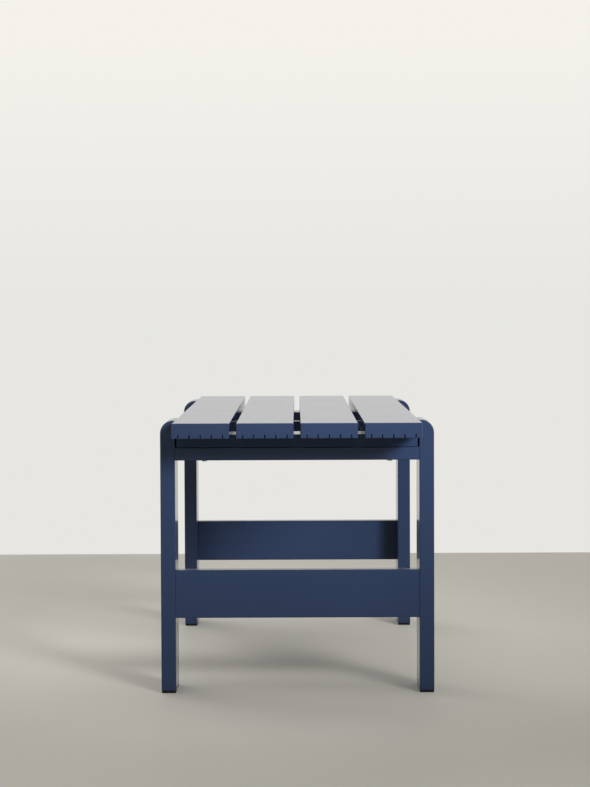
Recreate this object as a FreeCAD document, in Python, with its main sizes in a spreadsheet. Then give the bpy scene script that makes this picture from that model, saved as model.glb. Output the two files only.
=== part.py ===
import FreeCAD, Part
import math
import os
import re
import Sketcher

# A slatted dining table. Four planks, grooved along their undersides so that they stay flat, are
# screwed from below to three cross battens. The two end battens are bolted down on the top rails
# of two leg frames. Each frame is a pair of board legs with rounded shoulders, joined by the top
# rail and a low stretcher on blind tenons, and each leg stands on a plastic pad.
# Millimetres; X across the table, Y along it, Z up; the origin is on the floor under its middle.

PLANK_COUNT = 4
GROOVE_COUNT = 5
# The screws, bolts, washers, inserts and their holes are many and small, so they have few sides
ROUND_SIDES = 8

SIZES = {
    # Planks of the top
    "top_length": 1800,
    "top_height": 740,
    "plank_width": 150,
    "plank_thickness": 40,
    "plank_gap": 18,
    "plank_edge_radius": 2.5,
    "plank_end_bevel": 2,
    # Relief grooves under each plank; the margin is from the plank's edge to the first groove
    "groove_width": 3.5,
    "groove_depth": 10,
    "groove_margin": 17,
    # Leg frames; the overhang is from the planks' ends to the outer face of a frame
    "end_overhang": 195,
    "leg_thickness": 40,
    "leg_depth": 145,
    "leg_top_flat": 5,
    "leg_top_drop": 2,
    "leg_plank_gap": 2,
    "rail_height": 35,
    "stretcher_height": 130,
    "stretcher_thickness": 40,
    "stretcher_bottom": 204,
    "frame_edge_radius": 2.5,
    # Battens under the planks
    "batten_thickness": 35,
    "batten_leg_gap": 4,
    "middle_batten_width": 40,
    # Blind tenons; the wall is the wood left behind a mortise
    "tenon_thickness": 14,
    "tenon_shoulder": 20,
    "mortise_wall": 11,
    "mortise_end_gap": 1,
    # Foot pads, each with a tongue that is pressed into a slot under the leg
    "foot_height": 6,
    "foot_inset": 0.8,
    "foot_corner_radius": 3,
    "foot_bevel": 2,
    "tongue_thickness": 10,
    "tongue_height": 12,
    "tongue_margin": 30,
    "tongue_end_gap": 1,
    # Screws up through the battens; the cover is the plank left above their tips, the recess is
    # from a batten's underside to the seat of a head, and the margin is to a batten's edge
    "screw_diameter": 5,
    "screw_head_diameter": 10,
    "screw_head_height": 3,
    "screw_recess": 9,
    "screw_cover": 16,
    "screw_tip_gap": 1,
    "screw_margin": 38,
    # Bolts up through the rails, their washers, and the threaded inserts in the end battens
    "bolt_diameter": 8,
    "bolt_head_width": 13,
    "bolt_head_height": 5.3,
    "bolt_hole_play": 0.5,
    "bolt_tip_gap": 6.6,
    "washer_diameter": 16,
    "washer_thickness": 1.6,
    "insert_diameter": 12,
    "insert_length": 20,
    "insert_end_gap": 1,
    # Play on each side of anything that sits in a hole or mortise
    "fit_clearance": 0.1,
}

# Places and lengths that follow from the sizes, as formulas over the sheet
PLANK_PITCH = "(plank_width + plank_gap)"
OUTER_PLANK = f"({PLANK_COUNT - 1} / 2 * {PLANK_PITCH})"
TOP_HALF_WIDTH = f"({OUTER_PLANK} + plank_width / 2)"
LEG_INNER_FACE = f"({TOP_HALF_WIDTH} + leg_plank_gap)"
FRAME_SPAN = f"(2 * {LEG_INNER_FACE})"
BATTEN_LENGTH = f"({FRAME_SPAN} - 2 * batten_leg_gap)"
FRAME_OUTER_FACE = "(top_length / 2 - end_overhang)"
FRAME_MIDDLE = f"({FRAME_OUTER_FACE} - leg_depth / 2)"
STRETCHER_MIDDLE = f"({FRAME_OUTER_FACE} - stretcher_thickness / 2)"
TOP_UNDERSIDE = "(top_height - plank_thickness)"
RAIL_TOP = f"({TOP_UNDERSIDE} - batten_thickness)"
RAIL_BOTTOM = f"({RAIL_TOP} - rail_height)"
LEG_HEIGHT = "(top_height - leg_top_drop - foot_height)"
MORTISE_DEPTH = "(leg_thickness - mortise_wall)"
TENON_LENGTH = f"({MORTISE_DEPTH} - mortise_end_gap)"
GROOVE_PITCH = f"((plank_width - 2 * groove_margin) / {GROOVE_COUNT - 1})"
# The screws go up midway between two grooves, in two staggered lines on the wide end battens
SCREW_OFFSET = f"(1.5 * {GROOVE_PITCH})"
SCREW_STAGGER = "(leg_depth / 2 - screw_margin)"
SCREW_LENGTH = "(batten_thickness - screw_recess + plank_thickness - screw_cover)"
BOLT_LENGTH = "(washer_thickness + rail_height + insert_length - bolt_tip_gap)"
TONGUE_LENGTH = "(leg_depth - 2 * tongue_margin)"

# Sketch numbering: the two ends of a line, and the sketch's own origin
START, END = 1, 2
ORIGIN = -1
# Ends of lines and planes closer than this are taken to meet
TOUCH = 0.001

doc = FreeCAD.newDocument("slatted_dining_table")
sheet = doc.addObject("Spreadsheet::Sheet", "Sizes")
for row, (alias, size) in enumerate(SIZES.items(), start=1):
    sheet.set(f"A{row}", alias)
    sheet.set(f"B{row}", str(size))
    sheet.setAlias(f"B{row}", alias)
doc.recompute()


def cells(formula):
    """The formula with every size named in it pointed at its cell."""
    return re.sub(r"[a-z_]+", lambda word: f"Sizes.{word[0]}" if word[0] in SIZES else word[0], formula)


def value(formula):
    """The formula's present value as a number."""
    return float(sheet.evalExpression(cells(formula)))


def bind(item, setting, formula):
    """Tie one setting of an object to a formula."""
    item.setExpression(setting, cells(formula))


def place(item, x="0", y="0", z="0"):
    """Tie an object's position to three formulas."""
    bind(item, "Placement.Base.x", x)
    bind(item, "Placement.Base.y", y)
    bind(item, "Placement.Base.z", z)


def new_body(name):
    body = doc.addObject("PartDesign::Body", name)
    body.Label = name
    return body


def origin_feature(body, role):
    """One of a body's own base planes or axes."""
    return next(item for item in body.Origin.OriginFeatures if item.Role == role)


def sketch_on(body, plane, name, right="0", up="0"):
    """A sketch on a base plane of the body, with its origin moved right and up."""
    sketch = body.newObject("Sketcher::SketchObject", f"{body.Name}_{name}")
    sketch.AttachmentSupport = [(origin_feature(body, plane), "")]
    sketch.MapMode = "FlatFace"
    bind(sketch, "AttachmentOffset.Base.x", right)
    bind(sketch, "AttachmentOffset.Base.y", up)
    return sketch


def dimension(sketch, name, kind, parts, formula):
    """A named dimension in a sketch, tied to a formula."""
    number = sketch.addConstraint(Sketcher.Constraint(kind, *parts, value(formula)))
    sketch.renameConstraint(number, name)
    bind(sketch, f"Constraints.{name}", formula)


def draw_loop(sketch, edges, smooth=()):
    """Add edges that run end to end round an outline; those in smooth run on without a corner."""
    for edge in edges:
        sketch.addGeometry(edge)
    for number in range(len(edges)):
        following = (number + 1) % len(edges)
        meeting = "Tangent" if number in smooth else "Coincident"
        sketch.addConstraint(Sketcher.Constraint(meeting, number, END, following, START))


def draw_rectangle(sketch, width, height):
    """A rectangle centred on the sketch's origin."""
    right = value(width) / 2
    top = value(height) / 2
    corners = [(-right, -top), (right, -top), (right, top), (-right, top)]
    points = [FreeCAD.Vector(x, y, 0) for x, y in corners]
    draw_loop(sketch, [Part.LineSegment(points[i], points[(i + 1) % 4]) for i in range(4)])
    for number, direction in enumerate(("Horizontal", "Vertical", "Horizontal", "Vertical")):
        sketch.addConstraint(Sketcher.Constraint(direction, number))
    sketch.addConstraint(Sketcher.Constraint("Symmetric", 0, START, 1, END, ORIGIN, START))
    dimension(sketch, "width", "DistanceX", (0, START, 0, END), width)
    dimension(sketch, "height", "DistanceY", (1, START, 1, END), height)


def pad(body, sketch, length, both_ways=False):
    """Raise a sketch into a solid, or to both sides of its plane."""
    feature = body.newObject("PartDesign::Pad", f"{sketch.Name}_pad")
    feature.Profile = sketch
    feature.Midplane = both_ways
    bind(feature, "Length", length)
    doc.recompute()
    return feature


def pocket(body, sketch, depth, both_ways=False):
    """Cut a sketch into what lies on the positive side of its plane, or on both sides."""
    feature = body.newObject("PartDesign::Pocket", f"{sketch.Name}_pocket")
    feature.Profile = sketch
    feature.Reversed = True
    feature.Midplane = both_ways
    bind(feature, "Length", depth)
    doc.recompute()
    return feature


def edges_where(solid, wanted):
    """Names of the edges of a solid whose bounding box passes a test."""
    edges = enumerate(solid.Shape.Edges, start=1)
    return [f"Edge{number}" for number, edge in edges if wanted(edge.BoundBox)]


def dress(kind, body, solid, setting, size, edges):
    """Round or bevel some edges of a solid."""
    feature = body.newObject(f"PartDesign::{kind}", f"{body.Name}_{kind.lower()}")
    feature.Base = (solid, edges)
    bind(feature, setting, size)
    doc.recompute()
    return feature


def board(name, length, width, thickness, radius="frame_edge_radius"):
    """A board centred in plan, its underside at height 0 and its four long edges rounded."""
    body = new_body(name)
    outline = sketch_on(body, "XY_Plane", "outline")
    draw_rectangle(outline, length, width)
    blank = pad(body, outline, thickness)
    longest = max(edge.Length for edge in blank.Shape.Edges)
    long_edges = edges_where(blank, lambda box: box.DiagonalLength > longest - TOUCH)
    dress("Fillet", body, blank, "Radius", radius, long_edges)
    return body


def prism(name, diameter, height, bottom="0", sides=ROUND_SIDES):
    """A rod of the given diameter across its corners, standing on a height."""
    item = doc.addObject("Part::Prism", name)
    item.Polygon = sides
    bind(item, "Circumradius", f"({diameter}) / 2")
    bind(item, "Height", height)
    place(item, z=bottom)
    return item


def combine(kind, name, base, tool):
    """Join two solids, or cut the second from the first."""
    item = doc.addObject(f"Part::{kind}", name)
    item.Base = base
    item.Tool = tool
    return item


def group(name, pattern, places):
    """Copies of one solid at the given places, together in one object."""
    copies = []
    for number, (x, y, z) in enumerate(places, start=1):
        copy = doc.addObject("App::Link", f"{name}_{number}")
        copy.LinkedObject = pattern
        place(copy, x, y, z)
        copies.append(copy)
    item = doc.addObject("Part::Compound", name)
    item.Label = name
    item.Links = copies
    return item


def drill(name, blank, *hole_groups):
    """The finished piece: a blank with the holes of each group cut from it."""
    piece = blank
    for holes in hole_groups:
        piece = combine("Cut", f"{name}_with_{holes.Name}", piece, holes)
    piece.Label = name
    return piece


FRAME_ENDS = {"front": -1, "rear": 1}
FRAME_SIDES = {"left": -1, "right": 1}
PLANKS = ("left_outer", "left_inner", "right_inner", "right_outer")
# Where each batten lies along the table, its width, and how far its screws stand off its middle
BATTENS = {
    "front_batten": (f"-{FRAME_MIDDLE}", "leg_depth", SCREW_STAGGER),
    "middle_batten": ("0", "middle_batten_width", "0"),
    "rear_batten": (FRAME_MIDDLE, "leg_depth", SCREW_STAGGER),
}
# Tenons as their extent along the table and their height
RAIL_TENON = ("(leg_depth - 2 * tenon_shoulder)", "tenon_thickness")
STRETCHER_TENON = ("tenon_thickness", "(stretcher_height - 2 * tenon_shoulder)")


def plank_middle(number):
    return f"({number} * {PLANK_PITCH} - {OUTER_PLANK})"


def screw_places():
    """Two screws for every plank on every batten, at the undersides of the battens."""
    places = []
    for along, width, stagger in BATTENS.values():
        for number in range(PLANK_COUNT):
            for side in FRAME_SIDES.values():
                x = f"{plank_middle(number)} + {side} * {SCREW_OFFSET}"
                places.append((x, f"{along} + {side} * {stagger}", RAIL_TOP))
    return places


def bolt_places(height):
    """Two bolts in each leg frame, under the middles of the outer planks."""
    return [(f"{side} * {OUTER_PLANK}", f"{end} * {FRAME_MIDDLE}", height)
            for end in FRAME_ENDS.values() for side in FRAME_SIDES.values()]


def make_screws_and_holes():
    """Pan-head screws, and the counterbored holes that they fill in battens and planks."""
    head_bottom = "screw_recess - screw_head_height"
    head = prism("screw_head", "screw_head_diameter", "screw_head_height", head_bottom)
    shank = prism("screw_shank", "screw_diameter", SCREW_LENGTH, "screw_recess")
    screws = group("plank_screws", combine("Fuse", "screw", head, shank), screw_places())

    bore = prism("screw_bore", "screw_head_diameter + 2 * fit_clearance", "screw_recess")
    shank_room = f"{SCREW_LENGTH} + screw_tip_gap"
    pilot = prism("screw_pilot", "screw_diameter + 2 * fit_clearance", shank_room, "screw_recess")
    holes = group("screw_holes", combine("Fuse", "screw_hole", bore, pilot), screw_places())
    return screws, holes


def make_bolts_and_holes():
    """Hexagon bolts up through the rails, washers, inserts, and the holes for them."""
    across_corners = "bolt_head_width / sqrt(3) * 2"
    head_bottom = "-washer_thickness - bolt_head_height"
    head = prism("bolt_head", across_corners, "bolt_head_height", head_bottom, sides=6)
    shank = prism("bolt_shank", "bolt_diameter", BOLT_LENGTH, "-washer_thickness")
    bolts = group("top_bolts", combine("Fuse", "bolt", head, shank), bolt_places(RAIL_BOTTOM))

    thread_bore = "bolt_diameter + 2 * fit_clearance"
    disc = prism("washer_disc", "washer_diameter", "washer_thickness", "-washer_thickness")
    disc_bore = prism("washer_bore", thread_bore, "washer_thickness", "-washer_thickness")
    washer = combine("Cut", "washer", disc, disc_bore)
    washers = group("top_bolt_washers", washer, bolt_places(RAIL_BOTTOM))

    sleeve = prism("insert_sleeve", "insert_diameter", "insert_length")
    sleeve_bore = prism("insert_bore", thread_bore, "insert_length")
    insert = combine("Cut", "insert", sleeve, sleeve_bore)
    inserts = group("threaded_inserts", insert, bolt_places(RAIL_TOP))

    rail_hole = prism("bolt_hole", "bolt_diameter + 2 * bolt_hole_play", "rail_height")
    socket_depth = "insert_length + insert_end_gap"
    socket = prism("insert_hole", "insert_diameter + 2 * fit_clearance", socket_depth, "rail_height")
    stepped_hole = combine("Fuse", "bolt_and_insert_hole", rail_hole, socket)
    holes = group("bolt_holes", stepped_hole, bolt_places(RAIL_BOTTOM))
    return bolts, washers, inserts, holes


def make_plank(name, number, screw_holes):
    """A plank with rounded edges, bevelled ends, sawn grooves and pilot holes below."""
    body = board(f"{name}_blank", "plank_width", "top_length", "plank_thickness", "plank_edge_radius")
    plank_end = value("top_length") / 2
    end_edges = edges_where(body.Tip, lambda box: box.YLength < TOUCH and abs(box.YMin) > plank_end - TOUCH)
    dress("Chamfer", body, body.Tip, "Size", "plank_end_bevel", end_edges)

    first_groove = f"-{GROOVE_COUNT - 1} / 2 * {GROOVE_PITCH}"
    groove = sketch_on(body, "XZ_Plane", "groove", right=first_groove, up="groove_depth / 2")
    draw_rectangle(groove, "groove_width", "groove_depth")
    saw_cut = pocket(body, groove, "top_length", both_ways=True)
    grooves = body.newObject("PartDesign::LinearPattern", f"{name}_grooves")
    grooves.Originals = [saw_cut]
    grooves.Direction = (origin_feature(body, "X_Axis"), [""])
    bind(grooves, "Length", f"{GROOVE_COUNT - 1} * {GROOVE_PITCH}")
    grooves.Occurrences = GROOVE_COUNT
    body.Tip = grooves
    place(body, x=plank_middle(number), z=TOP_UNDERSIDE)
    return drill(name, body, screw_holes)


def make_batten(name, hole_groups):
    """A cross batten, drilled for its screws and, at the table's ends, for the inserts."""
    along, width, stagger = BATTENS[name]
    body = board(f"{name}_blank", BATTEN_LENGTH, width, "batten_thickness")
    place(body, y=along, z=RAIL_TOP)
    return drill(name, body, *hole_groups)


def add_tenons(body, middle_height, tenon):
    """A tenon on each end of a board, as one bar right through it."""
    bar = sketch_on(body, "YZ_Plane", "tenon", up=middle_height)
    draw_rectangle(bar, *tenon)
    pad(body, bar, f"{FRAME_SPAN} + 2 * {TENON_LENGTH}", both_ways=True)


def make_top_rail(name, end, bolt_holes):
    """A flat rail between two legs, with tenons and two bolt holes."""
    body = board(f"{name}_blank", FRAME_SPAN, "leg_depth", "rail_height")
    add_tenons(body, "rail_height / 2", RAIL_TENON)
    place(body, y=f"{end} * {FRAME_MIDDLE}", z=RAIL_BOTTOM)
    return drill(name, body, bolt_holes)


def make_stretcher(name, end):
    """A low board on edge, flush with the outer faces of its two legs."""
    body = board(name, FRAME_SPAN, "stretcher_thickness", "stretcher_height")
    add_tenons(body, "stretcher_height / 2", STRETCHER_TENON)
    place(body, y=f"{end} * {STRETCHER_MIDDLE}", z="stretcher_bottom")
    return body


def draw_leg_profile(sketch):
    """A leg seen from the table's end: inner edge on the origin, shoulder rounded outside."""
    width = value("leg_thickness")
    flat = value("leg_top_flat")
    height = value(LEG_HEIGHT)
    radius = width - flat
    quarter_turn = math.pi / 2
    inner_foot = FreeCAD.Vector(0, 0, 0)
    outer_foot = FreeCAD.Vector(width, 0, 0)
    shoulder_foot = FreeCAD.Vector(width, height - radius, 0)
    shoulder_centre = FreeCAD.Vector(flat, height - radius, 0)
    shoulder_top = FreeCAD.Vector(flat, height, 0)
    inner_top = FreeCAD.Vector(0, height, 0)
    shoulder = Part.Circle(shoulder_centre, FreeCAD.Vector(0, 0, 1), radius)
    draw_loop(sketch, [
        Part.LineSegment(inner_foot, outer_foot),
        Part.LineSegment(outer_foot, shoulder_foot),
        Part.ArcOfCircle(shoulder, 0, quarter_turn),
        Part.LineSegment(shoulder_top, inner_top),
        Part.LineSegment(inner_top, inner_foot),
    ], smooth=(1, 2))
    for line, direction in ((0, "Horizontal"), (1, "Vertical"), (3, "Horizontal"), (4, "Vertical")):
        sketch.addConstraint(Sketcher.Constraint(direction, line))
    sketch.addConstraint(Sketcher.Constraint("Coincident", 0, START, ORIGIN, START))
    dimension(sketch, "thickness", "DistanceX", (0, START, 0, END), "leg_thickness")
    dimension(sketch, "flat", "DistanceX", (3, END, 3, START), "leg_top_flat")
    dimension(sketch, "height", "DistanceY", (4, END, 4, START), LEG_HEIGHT)


def make_leg(name, end, side):
    """A board leg, drawn as a right-hand one; a left-hand one is turned half round."""
    body = new_body(name)
    profile = sketch_on(body, "XZ_Plane", "profile")
    draw_leg_profile(profile)
    blank = pad(body, profile, "leg_depth", both_ways=True)
    face_edges = edges_where(blank, lambda box: box.YLength < TOUCH and box.ZMax > TOUCH)
    dress("Fillet", body, blank, "Radius", "min(frame_edge_radius; leg_top_flat / 2)", face_edges)

    stretcher_offset = f"{end * side} * (leg_depth - stretcher_thickness) / 2"
    mortises = {
        "rail_mortise": ("0", f"{RAIL_BOTTOM} + rail_height / 2", RAIL_TENON),
        "stretcher_mortise": (stretcher_offset, "stretcher_bottom + stretcher_height / 2", STRETCHER_TENON),
    }
    for mortise_name, (across, height, (width, upright)) in mortises.items():
        mortise = sketch_on(body, "YZ_Plane", mortise_name, right=across, up=f"{height} - foot_height")
        draw_rectangle(mortise, f"{width} + 2 * fit_clearance", f"{upright} + 2 * fit_clearance")
        pocket(body, mortise, MORTISE_DEPTH)

    slot = sketch_on(body, "XY_Plane", "foot_slot", right="leg_thickness / 2")
    draw_rectangle(slot, "tongue_thickness + 2 * fit_clearance", f"{TONGUE_LENGTH} + 2 * fit_clearance")
    pocket(body, slot, "tongue_height + tongue_end_gap")
    half_turn = 180 if side < 0 else 0
    body.Placement = FreeCAD.Placement(FreeCAD.Vector(), FreeCAD.Rotation(half_turn, 0, 0))
    place(body, f"{side} * {LEG_INNER_FACE}", f"{end} * {FRAME_MIDDLE}", "foot_height")
    return body


def make_foot(name, end, side):
    """A moulded pad under a leg, rounded at its corners and bevelled below, with its tongue."""
    body = new_body(name)
    outline = sketch_on(body, "XY_Plane", "outline")
    draw_rectangle(outline, "leg_thickness - 2 * foot_inset", "leg_depth - 2 * foot_inset")
    slab = pad(body, outline, "foot_height")
    upright_edges = edges_where(slab, lambda box: box.ZLength > TOUCH)
    rounded = dress("Fillet", body, slab, "Radius", "foot_corner_radius", upright_edges)
    lower_edges = edges_where(rounded, lambda box: box.ZMax < TOUCH)
    dress("Chamfer", body, rounded, "Size", "foot_bevel", lower_edges)
    tongue = sketch_on(body, "XY_Plane", "tongue")
    bind(tongue, "AttachmentOffset.Base.z", "foot_height")
    draw_rectangle(tongue, "tongue_thickness", TONGUE_LENGTH)
    pad(body, tongue, "tongue_height")
    place(body, f"{side} * ({LEG_INNER_FACE} + leg_thickness / 2)", f"{end} * {FRAME_MIDDLE}")
    return body


screws, screw_holes = make_screws_and_holes()
bolts, washers, inserts, bolt_holes = make_bolts_and_holes()
parts = [screws, bolts, washers, inserts]
for number, name in enumerate(PLANKS):
    parts.append(make_plank(f"{name}_plank", number, screw_holes))
parts.append(make_batten("front_batten", (screw_holes, bolt_holes)))
parts.append(make_batten("middle_batten", (screw_holes,)))
parts.append(make_batten("rear_batten", (screw_holes, bolt_holes)))
for end_name, end in FRAME_ENDS.items():
    parts.append(make_top_rail(f"{end_name}_top_rail", end, bolt_holes))
    parts.append(make_stretcher(f"{end_name}_stretcher", end))
    for side_name, side in FRAME_SIDES.items():
        parts.append(make_leg(f"{end_name}_{side_name}_leg", end, side))
        parts.append(make_foot(f"{end_name}_{side_name}_foot", end, side))
doc.recompute()

# Nothing is written unless every feature came out sound and every cut removed wood
for item in doc.Objects:
    if "Invalid" in item.State or "Error" in item.State:
        raise RuntimeError(f"{item.Label} could not be made")
    if item.TypeId in ("PartDesign::Pocket", "PartDesign::LinearPattern"):
        if item.Shape.Volume >= item.BaseFeature.Shape.Volume:
            raise RuntimeError(f"{item.Label} cut nothing")
    if item.TypeId == "Part::Cut" and item.Shape.Volume >= item.Base.Shape.Volume:
        raise RuntimeError(f"{item.Label} cut nothing")
for part in parts:
    if part.Shape.isNull() or not part.Shape.isValid():
        raise RuntimeError(f"{part.Label} is not a sound solid")

os.makedirs("parts", exist_ok=True)
for part in parts:
    part.Shape.exportStep(os.path.join("parts", f"{part.Label}.step"))
    print(f"{part.Label}: {len(part.Shape.Solids)} solid(s), {part.Shape.Volume:.0f} cubic millimetres")
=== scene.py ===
import math

import bpy
from mathutils import Matrix, Vector


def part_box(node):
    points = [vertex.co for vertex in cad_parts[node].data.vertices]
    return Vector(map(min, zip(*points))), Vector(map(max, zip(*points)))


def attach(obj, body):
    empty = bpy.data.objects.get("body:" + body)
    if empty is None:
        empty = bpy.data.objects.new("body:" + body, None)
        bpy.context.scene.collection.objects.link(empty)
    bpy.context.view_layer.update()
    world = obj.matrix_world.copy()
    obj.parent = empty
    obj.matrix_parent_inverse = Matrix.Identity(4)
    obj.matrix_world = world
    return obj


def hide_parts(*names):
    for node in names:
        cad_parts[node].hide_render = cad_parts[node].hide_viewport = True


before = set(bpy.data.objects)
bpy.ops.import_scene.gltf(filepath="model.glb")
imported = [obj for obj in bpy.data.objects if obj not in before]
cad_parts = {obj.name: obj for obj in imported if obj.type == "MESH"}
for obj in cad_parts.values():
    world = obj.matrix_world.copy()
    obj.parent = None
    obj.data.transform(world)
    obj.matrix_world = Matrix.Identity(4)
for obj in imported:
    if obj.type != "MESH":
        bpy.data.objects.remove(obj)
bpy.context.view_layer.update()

# Legs
# Four planed pine boards on edge, each with its outer top corner sawn to a quarter round and every
# edge eased. Mortises in their inner faces take the rail and the stretcher of a frame, a slot below
# takes the foot pad, and the whole board is sprayed with navy lacquer.
MM = 0.001
FRAME_ENDS = ("front", "rear")
SIDES = ("left", "right")
EASED = 2.5 * MM
EASED_STEPS = 4
SHOULDER_FLAT = 5 * MM
SHOULDER_STEPS = 20
TENON_THICKNESS = 14 * MM
TENON_SHOULDER = 20 * MM
TONGUE_THICKNESS = 10 * MM
TONGUE_MARGIN = 30 * MM
# Play beside a tenon, tongue or screw head, and room past the end of a tenon or tongue
FIT = 0.1 * MM
END_ROOM = 1 * MM
# Points closer than this are at the same height or place
NEAR = 0.01 * MM
# A face looks along a direction if its normal has at least this share of it
SQUARE_ON = 0.7
SHARP_EDGE = math.radians(40)
SMOOTH_EDGE = math.radians(35)


def linear(hex_colour):
    """An sRGB hex colour as the linear values that shaders take."""
    shares = [int(hex_colour[i:i + 2], 16) / 255 for i in (1, 3, 5)]
    return [s / 12.92 if s <= 0.04045 else ((s + 0.055) / 1.055) ** 2.4 for s in shares] + [1.0]


def add_node(tree, kind, inputs=None, **settings):
    """A node with its settings; each input is given a value, or an output to be linked to."""
    made = tree.nodes.new(kind)
    for setting, choice in settings.items():
        setattr(made, setting, choice)
    for socket, given in (inputs or {}).items():
        if isinstance(given, bpy.types.NodeSocket):
            tree.links.new(given, made.inputs[socket])
        else:
            made.inputs[socket].default_value = given
    return made


def new_material(name):
    """An empty material, its node tree, and the shader that feeds its surface."""
    material = bpy.data.materials.new(name)
    material.use_nodes = True
    tree = material.node_tree
    tree.nodes.clear()
    shader = add_node(tree, "ShaderNodeBsdfPrincipled")
    add_node(tree, "ShaderNodeOutputMaterial", {"Surface": shader.outputs["BSDF"]})
    return material, tree, shader


# Satin navy lacquer sprayed on planed pine. The film is even and half matt under a clear top coat, and
# the grain only shows as faint long ripples, with the year rings where a board is cut across. A clear
# lacquer's IOR is about 1.5; the lower one gives the softer sheen of this top.
NAVY_DEEP = "#293958"
NAVY_PALE = "#2e3f5f"
LACQUER_ROUGHNESS = 0.38
ROUGHNESS_SPREAD = 0.08
LACQUER_IOR = 1.27
LACQUER_SPECULAR = 0.5
TOP_COAT = 0.70
TOP_COAT_ROUGHNESS = 0.1
GRAIN_WIDTH = 6 * MM
GRAIN_LENGTH = 800 * MM
GRAIN_HEIGHT = 0.02 * MM
GRAIN_TONE = 0.45
TONE_SHIFT = -0.2
RING_WIDTH = 4 * MM
# A wave texture runs through this angle, in radians, in one unit of length
WAVE_ANGLE = 20
# How squarely a face looks along the grain where the rings begin to show, and show in full
RINGS_BEGIN = 0.8
RINGS_FULL = 0.95
CLOUD_WIDTH = 260 * MM
# Spray texture is finer than this on a real board; it is drawn as coarse as it needs to show
PEEL_WIDTH = 2.5 * MM
PEEL_HEIGHT = 0.006 * MM


def lacquered_pine(name, grain, top_coat=TOP_COAT, specular=LACQUER_SPECULAR):
    """The lacquer on boards whose grain runs along X, Y or Z."""
    material, tree, shader = new_material(name)
    place = add_node(tree, "ShaderNodeTexCoord")
    along = Vector([1.0 if axis == grain else 0.0 for axis in "XYZ"])
    stretch = [1 / GRAIN_LENGTH if share else 1 / GRAIN_WIDTH for share in along]
    drawn_out = add_node(tree, "ShaderNodeMapping", {"Vector": place.outputs["Object"], "Scale": stretch})
    ripples = add_node(tree, "ShaderNodeTexNoise",
                       {"Vector": drawn_out.outputs[0], "Scale": 1.0, "Detail": 2.0, "Roughness": 0.5})
    clouds = add_node(tree, "ShaderNodeTexNoise",
                      {"Vector": place.outputs["Object"], "Scale": 1 / CLOUD_WIDTH, "Detail": 2.0})
    peel = add_node(tree, "ShaderNodeTexNoise",
                    {"Vector": place.outputs["Object"], "Scale": 1 / PEEL_WIDTH, "Detail": 1.0})
    facing = add_node(tree, "ShaderNodeVectorMath", {0: place.outputs["Normal"], 1: along},
                      operation="DOT_PRODUCT")
    squareness = add_node(tree, "ShaderNodeMath", {0: facing.outputs["Value"]}, operation="ABSOLUTE")
    end_grain = add_node(tree, "ShaderNodeMapRange",
                         {"Value": squareness.outputs[0], "From Min": RINGS_BEGIN, "From Max": RINGS_FULL})
    rings = add_node(tree, "ShaderNodeTexWave",
                     {"Vector": place.outputs["Object"], "Scale": math.tau / WAVE_ANGLE / RING_WIDTH,
                      "Distortion": 3.0, "Detail": 2.0, "Detail Scale": 0.6},
                     wave_type="RINGS", rings_direction=grain)
    end_rings = add_node(tree, "ShaderNodeMath", {0: rings.outputs["Fac"], 1: end_grain.outputs[0]},
                         operation="MULTIPLY")

    tone = add_node(tree, "ShaderNodeMath", {0: ripples.outputs[0], 1: GRAIN_TONE, 2: TONE_SHIFT},
                    operation="MULTIPLY_ADD")
    shade = add_node(tree, "ShaderNodeMath", {0: clouds.outputs[0], 1: tone.outputs[0]},
                     operation="ADD", use_clamp=True)
    colour = add_node(tree, "ShaderNodeMix",
                      {0: shade.outputs[0], 6: linear(NAVY_DEEP), 7: linear(NAVY_PALE)}, data_type="RGBA")
    tree.links.new(colour.outputs[2], shader.inputs["Base Color"])

    gloss = add_node(tree, "ShaderNodeMath",
                     {0: clouds.outputs[0], 1: ROUGHNESS_SPREAD,
                      2: LACQUER_ROUGHNESS - ROUGHNESS_SPREAD / 2}, operation="MULTIPLY_ADD")
    tree.links.new(gloss.outputs[0], shader.inputs["Roughness"])
    shader.inputs["IOR"].default_value = LACQUER_IOR
    shader.inputs["Specular IOR Level"].default_value = specular
    shader.inputs["Coat Weight"].default_value = top_coat
    shader.inputs["Coat Roughness"].default_value = TOP_COAT_ROUGHNESS
    shader.inputs["Coat IOR"].default_value = LACQUER_IOR

    # The heights are in metres, so the bump takes them as they are
    relief = add_node(tree, "ShaderNodeMath", {0: ripples.outputs[0], 1: GRAIN_HEIGHT},
                      operation="MULTIPLY")
    sprayed = add_node(tree, "ShaderNodeMath", {0: peel.outputs[0], 1: PEEL_HEIGHT, 2: relief.outputs[0]},
                       operation="MULTIPLY_ADD")
    ringed = add_node(tree, "ShaderNodeMath",
                      {0: end_rings.outputs[0], 1: GRAIN_HEIGHT, 2: sprayed.outputs[0]},
                      operation="MULTIPLY_ADD")
    bump = add_node(tree, "ShaderNodeBump", {"Height": ringed.outputs[0], "Distance": 1.0, "Strength": 1.0})
    tree.links.new(bump.outputs["Normal"], shader.inputs["Normal"])
    return material


lacquer = {axis: lacquered_pine(f"satin_navy_lacquer_on_pine_{axis.lower()}", axis) for axis in "XYZ"}
# Where spray hardly reaches, or sawn end grain drinks it up, only a thin coat dries on, dead matt
dry_coat = lacquered_pine("dry_navy_lacquer_on_pine", "X", top_coat=0.0, specular=0.0)


def new_block(name, low, high):
    """A plain block between two corners, the start of every board."""
    bpy.ops.object.select_all(action="DESELECT")
    bpy.ops.mesh.primitive_cube_add(size=1, location=(low + high) / 2, scale=high - low)
    block = bpy.context.object
    block.name = name
    bpy.ops.object.transform_apply(location=True, rotation=True, scale=True)
    return block


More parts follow.
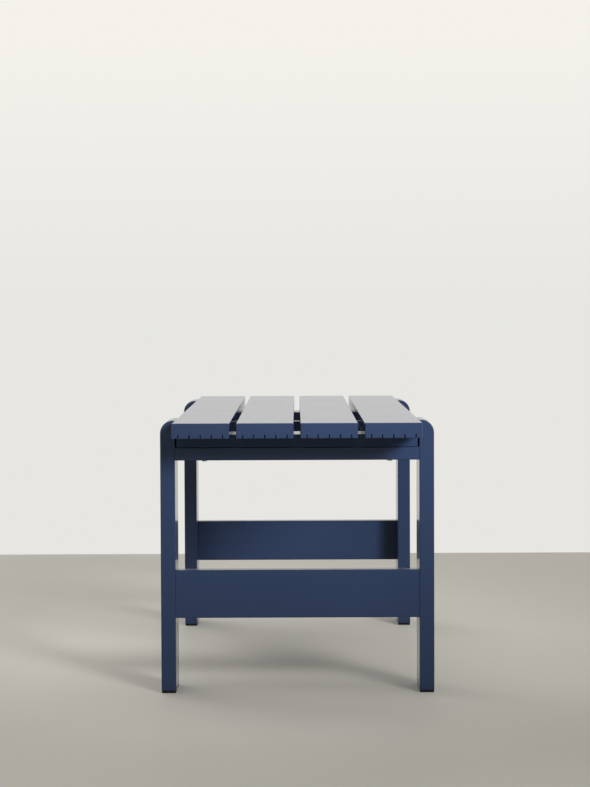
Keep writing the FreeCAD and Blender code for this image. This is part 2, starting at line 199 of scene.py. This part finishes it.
def pick(piece, kind, wanted):
    """Select, in edit mode, the edges or faces whose corners pass a test."""
    bpy.ops.object.mode_set(mode="EDIT")
    bpy.ops.mesh.select_mode(type=kind)
    bpy.ops.mesh.select_all(action="DESELECT")
    bpy.ops.object.mode_set(mode="OBJECT")
    mesh = piece.data
    for element in (mesh.edges if kind == "EDGE" else mesh.polygons):
        element.select = wanted([mesh.vertices[number].co for number in element.vertices])
    bpy.ops.object.mode_set(mode="EDIT")


def round_off(piece, radius, steps, wanted):
    """Round the edges whose two ends pass a test."""
    pick(piece, "EDGE", wanted)
    bpy.ops.mesh.bevel(offset=radius, segments=steps, affect="EDGES")
    bpy.ops.object.mode_set(mode="OBJECT")


def apply_modifier(piece, kind, **settings):
    """Change a piece's mesh by a modifier."""
    modifier = piece.modifiers.new(kind.lower(), kind)
    for setting, choice in settings.items():
        setattr(modifier, setting, choice)
    bpy.context.view_layer.objects.active = piece
    bpy.ops.object.modifier_apply(modifier=modifier.name)


def ease_edges(piece):
    """Take the sharpness off every edge of a board, as sanding does."""
    apply_modifier(piece, "BEVEL", width=EASED, segments=EASED_STEPS, limit_method="ANGLE",
                   angle_limit=SHARP_EDGE)


def combine(piece, other, operation):
    """Change a piece by the shape of another, which is used up."""
    apply_modifier(piece, "BOOLEAN", operation=operation, object=other, solver="EXACT")
    bpy.data.objects.remove(other)


def cut(piece, cutter):
    """Take a cutter's shape out of a piece."""
    combine(piece, cutter, "DIFFERENCE")


def score(piece, height):
    """Divide the faces of a piece along a level line."""
    pick(piece, "FACE", lambda corners: True)
    bpy.ops.mesh.bisect(plane_co=(0, 0, height), plane_no=(0, 0, 1))
    bpy.ops.object.mode_set(mode="OBJECT")


def settle(piece, node, material):
    """Shade a finished piece and let it stand for its node of the frame."""
    bpy.ops.object.select_all(action="DESELECT")
    piece.select_set(True)
    bpy.context.view_layer.objects.active = piece
    bpy.ops.object.shade_smooth_by_angle(angle=SMOOTH_EDGE)
    apply_modifier(piece, "WEIGHTED_NORMAL", keep_sharp=True)
    piece.data.materials.clear()
    piece.data.materials.append(material)
    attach(piece, "root")
    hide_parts(node)


def coat(piece, material, wanted):
    """Give another finish to the faces whose middle and normal pass a test."""
    piece.data.materials.append(material)
    for face in piece.data.polygons:
        if wanted(face.center, face.normal):
            face.material_index = len(piece.data.materials) - 1


def tenon_half(half):
    """Half the size of a tenon's section, from half the size of its board."""
    if half.y > half.z:
        return Vector((half.x, half.y - TENON_SHOULDER, TENON_THICKNESS / 2))
    return Vector((half.x, TENON_THICKNESS / 2, half.z - TENON_SHOULDER))


for end in FRAME_ENDS:
    for side in SIDES:
        node = f"{end}_{side}_leg"
        low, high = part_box(node)
        leg = new_block(f"{node}_board", low, high)
        outer_face = max(low.x, high.x, key=abs)
        shoulder = high.x - low.x - SHOULDER_FLAT
        round_off(leg, shoulder, SHOULDER_STEPS, lambda ends: all(
            point.z > high.z - NEAR and abs(point.x - outer_face) < NEAR for point in ends))
        ease_edges(leg)
        for joined in ("top_rail", "stretcher"):
            board_low, board_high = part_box(f"{end}_{joined}")
            half = tenon_half((board_high - board_low) / 2) + Vector((END_ROOM, FIT, FIT))
            middle = (board_low + board_high) / 2
            cut(leg, new_block("mortise", middle - half, middle + half))
        foot_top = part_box(f"{end}_{side}_foot")[1].z
        half_depth = (high.y - low.y) / 2
        half = Vector((TONGUE_THICKNESS / 2 + FIT, half_depth - TONGUE_MARGIN + FIT, foot_top + END_ROOM))
        middle = Vector(((low.x + high.x) / 2, (low.y + high.y) / 2, 0))
        cut(leg, new_block("tongue_slot", middle - half, middle + half))
        # The strip of the inner face beside the end of the batten stays dry
        strip_low, strip_high = (corner.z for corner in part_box(f"{end}_batten"))
        score(leg, strip_low)
        score(leg, strip_high)
        settle(leg, node, lacquer["Z"])
        inward = Vector((-math.copysign(1, outer_face), 0, 0))
        coat(leg, dry_coat, lambda centre, normal: (
            strip_low < centre.z < strip_high and normal.dot(inward) > SQUARE_ON))

# Top rails and stretchers
# Pine boards that hold a pair of legs apart: a flat rail on top, and a board on edge low down, flush
# with the outer faces of the legs. Their shoulders are eased a little, which leaves a fine line at
# each joint, and their tenons are glued into the mortises.
SHOULDER_EASED = 0.8 * MM
SHOULDER_EASED_STEPS = 2
leg_inner_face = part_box("front_right_leg")[0].x


def draw_out(piece, wanted, ratio, middle, length):
    """Draw the middles of the picked faces out by a length, at a share of the faces' size."""
    pick(piece, "FACE", wanted)
    bpy.ops.mesh.inset(thickness=NEAR)
    bpy.ops.transform.resize(value=ratio, center_override=middle)
    bpy.ops.mesh.extrude_region_shrink_fatten(TRANSFORM_OT_shrink_fatten={"value": length})
    bpy.ops.object.mode_set(mode="OBJECT")


def at_board_end(corners):
    """Whether an edge or face lies at the shoulders of a board, against the legs."""
    return all(abs(abs(point.x) - leg_inner_face) < NEAR for point in corners)


for end in FRAME_ENDS:
    for kind in ("top_rail", "stretcher"):
        node = f"{end}_{kind}"
        low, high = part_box(node)
        tenon_length = high.x - leg_inner_face
        low.x, high.x = -leg_inner_face, leg_inner_face
        board = new_block(f"{node}_board", low, high)
        round_off(board, EASED, EASED_STEPS, lambda ends: abs(ends[0].x - ends[1].x) > NEAR)
        round_off(board, SHOULDER_EASED, SHOULDER_EASED_STEPS, at_board_end)
        half = (high - low) / 2
        tenon = tenon_half(half)
        ratio = (1, tenon.y / (half.y - SHOULDER_EASED), tenon.z / (half.z - SHOULDER_EASED))
        draw_out(board, at_board_end, ratio, (low + high) / 2, tenon_length)
        settle(board, node, lacquer["X"])

# Foot pads
# Black moulded plastic pads that keep the end grain of the legs off a wet floor. Their corners are
# round and their lower rims bevelled, and a tongue on top is pressed into the slot under the leg.
PAD_CORNER = 3 * MM
PAD_RIM = 2 * MM
PAD_STEPS = 4
PLASTIC_BLACK = "#0b0c0e"
PLASTIC_GREY = "#121316"
PLASTIC_ROUGHNESS = 0.6
PLASTIC_IOR = 1.49
PLASTIC_SPECULAR = 0.25
MOULD_GRAIN = 0.9 * MM
MOULD_DEPTH = 0.02 * MM

# Polypropylene from a spark-eroded mould: matt, with a fine even grain that catches a dull light
black_plastic, tree, shader = new_material("moulded_black_polypropylene")
place = add_node(tree, "ShaderNodeTexCoord")
grit = add_node(tree, "ShaderNodeTexNoise",
                {"Vector": place.outputs["Object"], "Scale": 1 / MOULD_GRAIN, "Detail": 2.0})
colour = add_node(tree, "ShaderNodeMix",
                  {0: grit.outputs[0], 6: linear(PLASTIC_BLACK), 7: linear(PLASTIC_GREY)}, data_type="RGBA")
tree.links.new(colour.outputs[2], shader.inputs["Base Color"])
depth = add_node(tree, "ShaderNodeMath", {0: grit.outputs[0], 1: MOULD_DEPTH}, operation="MULTIPLY")
bump = add_node(tree, "ShaderNodeBump", {"Height": depth.outputs[0], "Distance": 1.0, "Strength": 1.0})
tree.links.new(bump.outputs["Normal"], shader.inputs["Normal"])
shader.inputs["Roughness"].default_value = PLASTIC_ROUGHNESS
shader.inputs["IOR"].default_value = PLASTIC_IOR
shader.inputs["Specular IOR Level"].default_value = PLASTIC_SPECULAR


def not_below(height):
    """A test for the edges or faces at a height or above it."""
    return lambda corners: all(point.z > height - NEAR for point in corners)


def not_above(height):
    """A test for the edges or faces at a height or below it."""
    return lambda corners: all(point.z < height + NEAR for point in corners)


for end in FRAME_ENDS:
    for side in SIDES:
        node = f"{end}_{side}_foot"
        low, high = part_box(node)
        leg_low, leg_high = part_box(f"{end}_{side}_leg")
        tongue_top = high.z
        high.z = leg_low.z
        pad = new_block(f"{node}_pad", low, high)
        round_off(pad, PAD_CORNER, PAD_STEPS, lambda ends: abs(ends[0].z - ends[1].z) > NEAR)
        round_off(pad, PAD_RIM, PAD_STEPS, not_above(low.z))
        leg_half = (leg_high - leg_low) / 2
        half = (high - low) / 2
        ratio = (TONGUE_THICKNESS / 2 / half.x, (leg_half.y - TONGUE_MARGIN) / half.y, 1)
        draw_out(pad, not_below(high.z), ratio, (low + high) / 2, tongue_top - high.z)
        settle(pad, node, black_plastic)

# Battens
# Three pine boards laid across under the planks: a wide one over each top rail and a narrow one in
# the middle. Round counterbores on their undersides sink the heads of the plank screws.
BATTENS = ("front_batten", "middle_batten", "rear_batten")
PLANKS = ("left_outer_plank", "left_inner_plank", "right_inner_plank", "right_outer_plank")
GROOVE_COUNT = 5
GROOVE_MARGIN = 17 * MM
GROOVE_GAPS_TO_SCREW = 1.5
SCREW_HEAD_RADIUS = 5 * MM
SCREW_RECESS = 9 * MM
SCREW_EDGE_MARGIN = 38 * MM
HOLE_SIDES = 32
plank_low, plank_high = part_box(PLANKS[0])
groove_pitch = (plank_high.x - plank_low.x - 2 * GROOVE_MARGIN) / (GROOVE_COUNT - 1)
# The battens are sprayed from above: the clear top coat stays on their upper faces
thin_coat = lacquered_pine("thin_navy_lacquer_on_pine", "X", top_coat=0.0)


def new_rod(name, radius, middle, length, sides=HOLE_SIDES):
    """A plain upright rod, the start of every round piece and hole."""
    bpy.ops.object.select_all(action="DESELECT")
    bpy.ops.mesh.primitive_cylinder_add(vertices=sides, radius=radius, depth=length, location=middle)
    rod = bpy.context.object
    rod.name = name
    bpy.ops.object.transform_apply(location=True, rotation=True, scale=True)
    return rod


def screw_places(batten):
    """Where the screws of a batten stand: two to a plank, staggered where the batten is wide."""
    low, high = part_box(batten)
    stagger = max((high.y - low.y) / 2 - SCREW_EDGE_MARGIN, 0)
    for plank in PLANKS:
        plank_middle = (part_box(plank)[0].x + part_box(plank)[1].x) / 2
        for side in (-1, 1):
            yield Vector((plank_middle + side * GROOVE_GAPS_TO_SCREW * groove_pitch,
                          (low.y + high.y) / 2 + side * stagger, low.z))


for node in BATTENS:
    batten = new_block(f"{node}_board", *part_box(node))
    ease_edges(batten)
    for place in screw_places(node):
        cut(batten, new_rod("counterbore", SCREW_HEAD_RADIUS + FIT, place, 2 * SCREW_RECESS))
    settle(batten, node, thin_coat)
    coat(batten, lacquer["X"], lambda centre, normal: normal.z > SQUARE_ON)
    coat(batten, dry_coat, lambda centre, normal: abs(normal.x) > SQUARE_ON)

# Planks
# The four boards of the top, with every edge eased. Five saw cuts run the length of each underside
# and let the board move without cupping; at the ends they show as short dark notches.
GROOVE_WIDTH = 3.5 * MM
GROOVE_DEPTH = 10 * MM
SAW_OVERRUN = 1 * MM

for node in PLANKS:
    low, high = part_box(node)
    plank = new_block(f"{node}_board", low, high)
    ease_edges(plank)
    for number in range(GROOVE_COUNT):
        groove_x = low.x + GROOVE_MARGIN + number * groove_pitch
        groove_low = Vector((groove_x - GROOVE_WIDTH / 2, low.y - SAW_OVERRUN, low.z - SAW_OVERRUN))
        groove_high = Vector((groove_x + GROOVE_WIDTH / 2, high.y + SAW_OVERRUN, low.z + GROOVE_DEPTH))
        cut(plank, new_block("saw_cut", groove_low, groove_high))
    settle(plank, node, lacquer["Y"])

# Plank screws
# Zinc-plated pan-head screws with a cross recess, driven up through the battens into the planks.
# One is modelled and copied to its place in every counterbore.
SCREW_HEAD_HEIGHT = 3 * MM
SCREW_HEAD_DOME = 1.6 * MM
SCREW_RADIUS = 2.5 * MM
SCREW_POINT = 4 * MM
SCREW_POINT_SHARE = 0.1
CROSS_LENGTH = 5.4 * MM
CROSS_WIDTH = 1.1 * MM
CROSS_DEPTH = 1.7 * MM
ZINC_BRIGHT = "#c3c6ca"
ZINC_DULL = "#a7abb1"
ZINC_ROUGHNESS = 0.22
ZINC_CLOUDING = 0.2
ZINC_SPANGLE = 1.5 * MM

# Bright zinc plate on steel: a bluish silver, a little cloudy from the plating bath
zinc, tree, shader = new_material("bright_zinc_plated_steel")
place = add_node(tree, "ShaderNodeTexCoord")
spangle = add_node(tree, "ShaderNodeTexNoise",
                   {"Vector": place.outputs["Object"], "Scale": 1 / ZINC_SPANGLE, "Detail": 3.0})
colour = add_node(tree, "ShaderNodeMix",
                  {0: spangle.outputs[0], 6: linear(ZINC_BRIGHT), 7: linear(ZINC_DULL)}, data_type="RGBA")
tree.links.new(colour.outputs[2], shader.inputs["Base Color"])
dullness = add_node(tree, "ShaderNodeMath", {0: spangle.outputs[0], 1: ZINC_CLOUDING, 2: ZINC_ROUGHNESS},
                    operation="MULTIPLY_ADD")
tree.links.new(dullness.outputs[0], shader.inputs["Roughness"])
shader.inputs["Metallic"].default_value = 1.0

screw_low, screw_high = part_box("plank_screws")
head_face = Vector((0, 0, screw_low.z))
head_seat = Vector((0, 0, screw_low.z + SCREW_HEAD_HEIGHT))
tip = Vector((0, 0, screw_high.z))
shank_end = tip.z - SCREW_POINT
pattern_screw = new_rod("pan_head_screw", SCREW_HEAD_RADIUS, (head_face + head_seat) / 2, SCREW_HEAD_HEIGHT)
round_off(pattern_screw, SCREW_HEAD_DOME, EASED_STEPS, not_above(head_face.z))
for length, width in ((CROSS_LENGTH, CROSS_WIDTH), (CROSS_WIDTH, CROSS_LENGTH)):
    half = Vector((length / 2, width / 2, CROSS_DEPTH))
    cut(pattern_screw, new_block("cross_recess", head_face - half, head_face + half))
share = SCREW_RADIUS / SCREW_HEAD_RADIUS
draw_out(pattern_screw, not_below(head_seat.z), (share, share, 1), head_seat, shank_end - head_seat.z)
draw_out(pattern_screw, not_below(shank_end), (1, 1, 1), tip, SCREW_POINT)
pick(pattern_screw, "FACE", not_below(tip.z))
bpy.ops.transform.resize(value=(SCREW_POINT_SHARE, SCREW_POINT_SHARE, 1), center_override=tip)
bpy.ops.object.mode_set(mode="OBJECT")


def copy_to(pattern, name, move):
    """A copy of a finished piece, with its own mesh, moved to its place."""
    copied = pattern.copy()
    copied.data = pattern.data.copy()
    copied.name = name
    copied.data.transform(Matrix.Translation(move))
    bpy.context.scene.collection.objects.link(copied)
    return copied


for node in BATTENS:
    for number, place in enumerate(screw_places(node), start=1):
        screw = copy_to(pattern_screw, f"{node}_screw_{number}", Vector((place.x, place.y, 0)))
        settle(screw, "plank_screws", zinc)
bpy.data.objects.remove(pattern_screw)

# Top bolts and washers
# Zinc-plated hexagon bolts that pull the end battens down on the top rails, with a flat washer under
# each head. They stand under the middles of the outer planks.
BOLT_FLATS = 13 * MM
BOLT_HEAD_SIDES = 6
BOLT_HEAD_CORNER = 0.9 * MM
BOLT_RADIUS = 4 * MM
BOLT_TIP = 0.8 * MM
WASHER_RADIUS = 8 * MM
WASHER_EASED = 0.25 * MM
WASHER_EASED_STEPS = 2
bolt_low, bolt_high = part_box("top_bolts")
washer_low, washer_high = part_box("top_bolt_washers")
rail_middle = (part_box("front_top_rail")[0].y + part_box("front_top_rail")[1].y) / 2
outer_plank_middle = (plank_low.x + plank_high.x) / 2

head_length = washer_low.z - bolt_low.z
head_middle = Vector((0, 0, bolt_low.z + head_length / 2))
corner_radius = BOLT_FLATS / math.sqrt(3)
bolt = new_rod("hexagon_bolt", corner_radius, head_middle, head_length, BOLT_HEAD_SIDES)
turned = new_rod("turned_corners", corner_radius, head_middle, head_length)
round_off(turned, BOLT_HEAD_CORNER, 1, not_above(bolt_low.z))
combine(bolt, turned, "INTERSECT")
shank_middle = Vector((0, 0, (washer_low.z + bolt_high.z) / 2))
shank = new_rod("bolt_shank", BOLT_RADIUS, shank_middle, bolt_high.z - washer_low.z)
round_off(shank, BOLT_TIP, 1, not_below(bolt_high.z))
combine(bolt, shank, "UNION")

washer_thickness = washer_high.z - washer_low.z
washer_middle = Vector((0, 0, (washer_low.z + washer_high.z) / 2))
washer = new_rod("flat_washer", WASHER_RADIUS, washer_middle, washer_thickness)
cut(washer, new_rod("washer_bore", BOLT_RADIUS + FIT, washer_middle, 4 * washer_thickness))
round_off(washer, WASHER_EASED, WASHER_EASED_STEPS, lambda ends: (
    all(point.xy.length > WASHER_RADIUS - MM for point in ends) and abs(ends[0].z - ends[1].z) < NEAR))

for end, along in (("front", rail_middle), ("rear", -rail_middle)):
    for side, across in (("left", outer_plank_middle), ("right", -outer_plank_middle)):
        move = Vector((across, along, 0))
        placed_bolt = copy_to(bolt, f"{end}_{side}_hexagon_bolt", move)
        settle(placed_bolt, "top_bolts", zinc)
        placed_washer = copy_to(washer, f"{end}_{side}_flat_washer", move)
        settle(placed_washer, "top_bolt_washers", zinc)
bpy.data.objects.remove(bolt)
bpy.data.objects.remove(washer)

# Threaded inserts
# Brass sleeves sunk in the end battens, which the bolts screw into. They are closed in between
# batten and rail, so the frame's own sleeves serve, in turned brass.
BRASS_BRIGHT = "#c8a35a"
BRASS_DULL = "#a9854a"
BRASS_ROUGHNESS = 0.3
TOOL_MARK = 0.6 * MM

# Free-cutting brass: a warm yellow metal with fine marks round the sleeve from the lathe
brass, tree, shader = new_material("turned_brass")
place = add_node(tree, "ShaderNodeTexCoord")
marks = add_node(tree, "ShaderNodeTexWave",
                 {"Vector": place.outputs["Object"], "Scale": math.tau / WAVE_ANGLE / TOOL_MARK,
                  "Distortion": 1.0},
                 bands_direction="Z")
colour = add_node(tree, "ShaderNodeMix",
                  {0: marks.outputs["Fac"], 6: linear(BRASS_BRIGHT), 7: linear(BRASS_DULL)},
                  data_type="RGBA")
tree.links.new(colour.outputs[2], shader.inputs["Base Color"])
shader.inputs["Metallic"].default_value = 1.0
shader.inputs["Roughness"].default_value = BRASS_ROUGHNESS
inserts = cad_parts["threaded_inserts"]
inserts.data.materials.clear()
inserts.data.materials.append(brass)

# Floor and backdrop
# A plain pale floor that ends a few steps behind the table, and the pale world behind it as the
# backdrop, a little brighter higher up. The floor can't be seen from below, so the underside shows.
FLOOR_COLOUR = "#d3d0c7"
FLOOR_CLOUD = "#cdcac0"
FLOOR_CLOUD_WIDTH = 900 * MM
FLOOR_ROUGHNESS = 0.6
FLOOR_SPECULAR = 0.15
FLOOR_GLOW = "#4a4843"
FLOOR_REAR_END = 2.68
FLOOR_REACH = 16.0
BACKDROP_COLOUR = "#e7e6e2"
BACKDROP_TOP_COLOUR = "#f4f1eb"
BACKDROP_TOP_SLOPE = 0.12
ROOM_COLOUR = "#ffffff"
ROOM_LIGHT = 0.05


def seen_rays(tree):
    """One for the rays that show the background, straight, mirrored or through glass, else nought."""
    ray = add_node(tree, "ShaderNodeLightPath")
    mirrored = add_node(tree, "ShaderNodeMath",
                        {0: ray.outputs["Is Glossy Ray"], 1: ray.outputs["Is Transmission Ray"]},
                        operation="MAXIMUM")
    return add_node(tree, "ShaderNodeMath", {0: ray.outputs["Is Camera Ray"], 1: mirrored.outputs[0]},
                    operation="MAXIMUM").outputs[0]


# Ground concrete: pale, dull and faintly cloudy. Its weak glow is only seen, straight or mirrored,
# and lights nothing
concrete, tree, shader = new_material("ground_concrete")
place = add_node(tree, "ShaderNodeTexCoord")
clouds = add_node(tree, "ShaderNodeTexNoise",
                  {"Vector": place.outputs["Object"], "Scale": 1 / FLOOR_CLOUD_WIDTH, "Detail": 4.0})
colour = add_node(tree, "ShaderNodeMix",
                  {0: clouds.outputs[0], 6: linear(FLOOR_COLOUR), 7: linear(FLOOR_CLOUD)}, data_type="RGBA")
tree.links.new(colour.outputs[2], shader.inputs["Base Color"])
shader.inputs["Roughness"].default_value = FLOOR_ROUGHNESS
shader.inputs["Specular IOR Level"].default_value = FLOOR_SPECULAR
shader.inputs["Emission Color"].default_value = linear(FLOOR_GLOW)
tree.links.new(seen_rays(tree), shader.inputs["Emission Strength"])
below = add_node(tree, "ShaderNodeNewGeometry").outputs["Backfacing"]
clear = add_node(tree, "ShaderNodeBsdfTransparent").outputs[0]
one_sided = add_node(tree, "ShaderNodeMixShader", {0: below, 1: shader.outputs[0], 2: clear})
tree.links.new(one_sided.outputs[0], tree.nodes["Material Output"].inputs["Surface"])
bpy.ops.object.select_all(action="DESELECT")
bpy.ops.mesh.primitive_plane_add(size=1, location=(0, (FLOOR_REAR_END - FLOOR_REACH) / 2, 0))
floor = bpy.context.object
floor.name = "floor"
bpy.ops.transform.resize(value=(2 * FLOOR_REACH, FLOOR_REAR_END + FLOOR_REACH, 1))
bpy.ops.object.transform_apply(location=True, rotation=True, scale=True)
floor.data.materials.append(concrete)

world = bpy.data.worlds.new("studio")
bpy.context.scene.world = world
world.use_nodes = True
tree = world.node_tree
tree.nodes.clear()
direction = add_node(tree, "ShaderNodeTexCoord").outputs["Generated"]
slope = add_node(tree, "ShaderNodeSeparateXYZ", {0: direction}).outputs["Z"]
height = add_node(tree, "ShaderNodeMapRange",
                  {"Value": slope, "From Min": 0.0, "From Max": BACKDROP_TOP_SLOPE})
colour = add_node(tree, "ShaderNodeMix",
                  {0: height.outputs[0], 6: linear(BACKDROP_COLOUR), 7: linear(BACKDROP_TOP_COLOUR)},
                  data_type="RGBA")
backdrop = add_node(tree, "ShaderNodeBackground", {"Color": colour.outputs[2], "Strength": 1.0})
room = add_node(tree, "ShaderNodeBackground", {"Color": linear(ROOM_COLOUR), "Strength": ROOM_LIGHT})
mixed = add_node(tree, "ShaderNodeMixShader",
                 {0: seen_rays(tree), 1: room.outputs[0], 2: backdrop.outputs[0]})
add_node(tree, "ShaderNodeOutputWorld", {"Surface": mixed.outputs[0]})

# Lights
# A softbox at the front right, a soft light from the whole ceiling, and a weak fill from the rear
# left. The lacquer mirrors the backdrop and the floor but none of the lamps, so no side shows a glare.
SOFTBOX_PLACE = (1.82, -3.18, 1.94)
SOFTBOX_TARGET = (0.16, -0.33, 0.77)
SOFTBOX_WIDTH = 1.76
SOFTBOX_HEIGHT = 1.18
SOFTBOX_POWER = 9.3
SOFTBOX_SPREAD = 28.5
CEILING_DIRECTION = (0, 0, 1)
CEILING_STRENGTH = 1.0
CEILING_ANGLE = 60
FILL_DIRECTION = (-0.6, 0.75, 0.3)
FILL_STRENGTH = 1.1
FILL_ANGLE = 45


def hang_light(lamp, direction, place=(0, 0, 0)):
    """Hang a lamp at a place so that its light comes from a direction."""
    light = bpy.data.objects.new(lamp.name, lamp)
    light.location = place
    light.rotation_mode = "QUATERNION"
    light.rotation_quaternion = (-Vector(direction)).to_track_quat("-Z", "Y")
    light.visible_glossy = False
    bpy.context.scene.collection.objects.link(light)


softbox = bpy.data.lights.new("front_right_softbox", "AREA")
softbox.shape = "RECTANGLE"
softbox.size = SOFTBOX_WIDTH
softbox.size_y = SOFTBOX_HEIGHT
softbox.energy = SOFTBOX_POWER
softbox.spread = math.radians(SOFTBOX_SPREAD)
hang_light(softbox, Vector(SOFTBOX_PLACE) - Vector(SOFTBOX_TARGET), SOFTBOX_PLACE)
for name, direction, strength, angle in (
        ("ceiling_light", CEILING_DIRECTION, CEILING_STRENGTH, CEILING_ANGLE),
        ("rear_left_fill", FILL_DIRECTION, FILL_STRENGTH, FILL_ANGLE)):
    far_light = bpy.data.lights.new(name, "SUN")
    far_light.energy = strength
    far_light.angle = math.radians(angle)
    hang_light(far_light, direction)

# Camera
# It stands where the photograph was taken from, in front of one end of the table, and looks a little
# down. Its lens is worked out from the focal length in pixels of the photograph.
CAMERA_PLACE = (-0.0004, -6.5969, 1.0362)
TILT_DOWN = 2.2013
TURN_RIGHT = -0.0447
ROLL = -0.2280
FOCAL_PIXELS = 2192.7
IMAGE_HEIGHT_PIXELS = 787
SENSOR_WIDTH = 36
SIGHT_END = 100
camera_data = bpy.data.cameras.new("camera")
camera_data.sensor_width = SENSOR_WIDTH
camera_data.lens = FOCAL_PIXELS / IMAGE_HEIGHT_PIXELS * SENSOR_WIDTH
camera_data.clip_end = SIGHT_END
camera = bpy.data.objects.new("camera", camera_data)
camera.matrix_world = (Matrix.Translation(CAMERA_PLACE)
                       @ Matrix.Rotation(math.radians(-TURN_RIGHT), 4, "Z")
                       @ Matrix.Rotation(math.radians(90 - TILT_DOWN), 4, "X")
                       @ Matrix.Rotation(math.radians(ROLL), 4, "Z"))
bpy.context.scene.collection.objects.link(camera)
bpy.context.scene.camera = camera
bpy.context.scene.view_settings.view_transform = "Standard"
